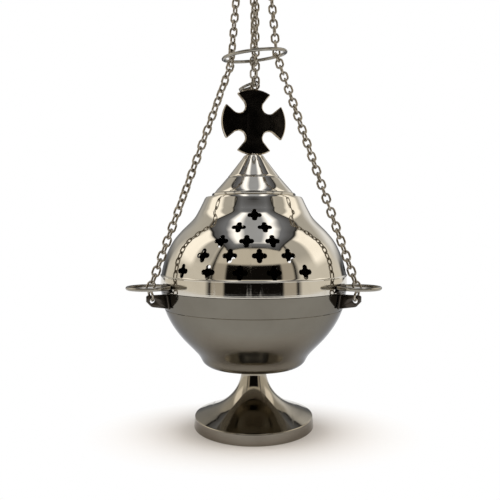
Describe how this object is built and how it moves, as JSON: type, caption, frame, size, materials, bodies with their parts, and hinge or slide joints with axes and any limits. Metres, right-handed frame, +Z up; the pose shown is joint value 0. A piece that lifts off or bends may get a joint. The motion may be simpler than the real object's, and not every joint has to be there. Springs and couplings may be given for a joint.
{
  "type": "church censer",
  "caption": "Hanging censer on a foot: bowl with coal cup, pierced lid with a cross on a lifting chain, carrying chains and rings.",
  "frame": {"origin": "on the floor plane under the middle of the whole object; the censer's own axis stands 11.1 mm in front of it (-Y), because one guide ring reaches out behind", "axes": "+Z up along the censer's axis, front of the censer towards -Y, +X to the right of the front view"},
  "size_m": [0.1376, 0.133, 0.3029],
  "materials": {
    "polished_nickel": "polished nickel plate on spun brass, fine turning lines",
    "satin_nickel": "nickel plate, softly brushed round the bowl",
    "dark_nickel": "nickel plate on cut sheet, mirror face with bright bevels",
    "chain_nickel": "nickel plated wire, slightly worn",
    "raw_brass": "bare turned brass, darkened by heat",
    "steel": "plain steel fastener"
  },
  "bodies": {
    "bowl": {"foot": "polished_nickel", "bowl": "satin_nickel", "foot_bolt": "steel", "cup_spacer": "raw_brass", "cup_nut": "steel", "coal_cup": "raw_brass", "chain_lug_left": "dark_nickel", "chain_lug_right": "dark_nickel", "chain_lug_back": "dark_nickel", "hand_piece": "polished_nickel", "hand_loop": "polished_nickel", "upper_chain_left": "chain_nickel", "upper_chain_right": "chain_nickel", "upper_chain_back": "chain_nickel"},
    "lid": {"lid_dome": "polished_nickel", "lid_cone": "polished_nickel", "cross": "dark_nickel", "cross_nut": "steel", "cross_ring": "polished_nickel", "guide_ring_left": "polished_nickel", "guide_ring_right": "polished_nickel", "guide_ring_back": "polished_nickel", "lid_chain": "chain_nickel"},
    "lower_chain_left": {"lower_chain_left": "chain_nickel"},
    "lower_chain_right": {"lower_chain_right": "chain_nickel"},
    "lower_chain_back": {"lower_chain_back": "chain_nickel"},
    "mid_chain_left": {"mid_chain_left": "chain_nickel"},
    "mid_chain_right": {"mid_chain_right": "chain_nickel"},
    "mid_chain_back": {"mid_chain_back": "chain_nickel"},
    "gathering_ring": {"gathering_ring": "polished_nickel"},
    "suspension_ring": {"suspension_ring": "polished_nickel"},
    "pull_ring": {"pull_ring": "polished_nickel"}
  },
  "joints": [
    {"name": "lid_lift", "type": "slide", "parent": "bowl", "child": "lid", "axis": [0, 0, 1], "range_m": [0, 0.022]},
    {"name": "chain_hook_left", "type": "hinge", "parent": "bowl", "child": "lower_chain_left", "pos_m": [-0.05508, -0.04292, 0.0779], "axis": [0.5, -0.866, 0], "range_deg": [0, 7.9]},
    {"name": "chain_knee_left", "type": "hinge", "parent": "lower_chain_left", "child": "mid_chain_left", "pos_m": [-0.04569, -0.0375, 0.11585], "axis": [0.5, -0.866, 0], "range_deg": [-10.75, 0]},
    {"name": "chain_hook_right", "type": "hinge", "parent": "bowl", "child": "lower_chain_right", "pos_m": [0.05508, -0.04292, 0.0779], "axis": [0.5, 0.866, 0], "range_deg": [0, 7.9]},
    {"name": "chain_knee_right", "type": "hinge", "parent": "lower_chain_right", "child": "mid_chain_right", "pos_m": [0.04607, -0.03772, 0.11601], "axis": [0.5, 0.866, 0], "range_deg": [-10.62, 0]},
    {"name": "chain_hook_back", "type": "hinge", "parent": "bowl", "child": "lower_chain_back", "pos_m": [0, 0.05248, 0.0779], "axis": [-1, 0, 0], "range_deg": [0, 7.9]},
    {"name": "chain_knee_back", "type": "hinge", "parent": "lower_chain_back", "child": "mid_chain_back", "pos_m": [0, 0.04222, 0.11607], "axis": [-1, 0, 0], "range_deg": [-10.58, 0]},
    {"name": "gathering_slide", "type": "slide", "parent": "bowl", "child": "gathering_ring", "axis": [0, 0, 1], "range_m": [0, 0.036]},
    {"name": "suspension_swing", "type": "hinge", "parent": "bowl", "child": "suspension_ring", "pos_m": [0, -0.00673, 0.27585], "axis": [1, 0, 0], "range_deg": [-75, 0]},
    {"name": "pull_ring_swing", "type": "hinge", "parent": "lid", "child": "pull_ring", "pos_m": [0.00112, -0.01369, 0.2813], "axis": [0.9675, -0.2529, 0], "range_deg": [0, 75]}
  ],
  "couplings": [
    {"joint": "chain_hook_left", "follows": "lid_lift", "rad_per_m": 6.188},
    {"joint": "chain_knee_left", "follows": "lid_lift", "rad_per_m": -8.4509},
    {"joint": "chain_hook_right", "follows": "lid_lift", "rad_per_m": 6.188},
    {"joint": "chain_knee_right", "follows": "lid_lift", "rad_per_m": -8.3496},
    {"joint": "chain_hook_back", "follows": "lid_lift", "rad_per_m": 6.188},
    {"joint": "chain_knee_back", "follows": "lid_lift", "rad_per_m": -8.3148}
  ]
}
